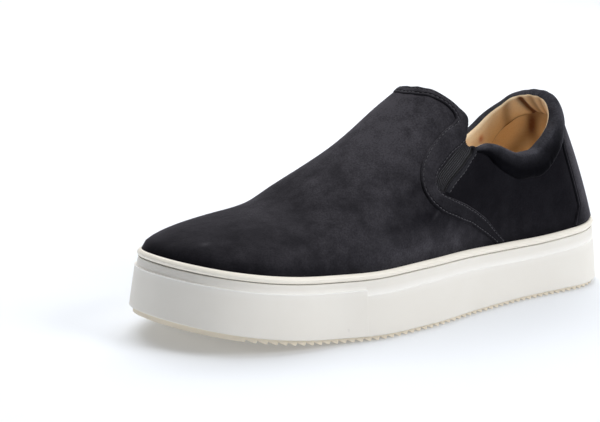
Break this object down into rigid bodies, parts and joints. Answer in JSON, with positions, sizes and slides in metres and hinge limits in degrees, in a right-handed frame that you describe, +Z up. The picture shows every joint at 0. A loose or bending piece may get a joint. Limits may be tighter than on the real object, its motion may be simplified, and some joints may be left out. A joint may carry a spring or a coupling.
{
  "type": "slip-on sneaker",
  "caption": "Low slip-on sneaker for a left foot: rounded vamp with an edge band, elastic gores, padded collar, bead and cupped rubber sole with a toe bumper and ribbed tread.",
  "frame": {"origin": "middle of the bounding box's floor side, on the floor under the shoe", "axes": "toe towards -Y, heel towards +Y, lateral side (the wearer's left) towards +X, +Z up"},
  "size_m": [0.1036, 0.3, 0.1151],
  "materials": {
    "outsole": "matt cream rubber with cross ribs",
    "cupsole": "matt off-white rubber",
    "welt_strip": "smooth cream rubber",
    "insole": "tan leather over foam",
    "upper": "near-black navy nubuck outside, tan leather lining inside",
    "vamp_band": "near-black navy nubuck, folded and stitched",
    "gore_lateral": "black ribbed elastic",
    "gore_medial": "black ribbed elastic",
    "heel_strip": "near-black navy nubuck, stitched"
  },
  "bodies": {
    "root": {"outsole": "outsole", "cupsole": "cupsole", "welt_strip": "welt_strip", "insole": "insole", "upper": "upper", "vamp_band": "vamp_band", "gore_lateral": "gore_lateral", "gore_medial": "gore_medial", "heel_strip": "heel_strip"}
  },
  "joints": []
}
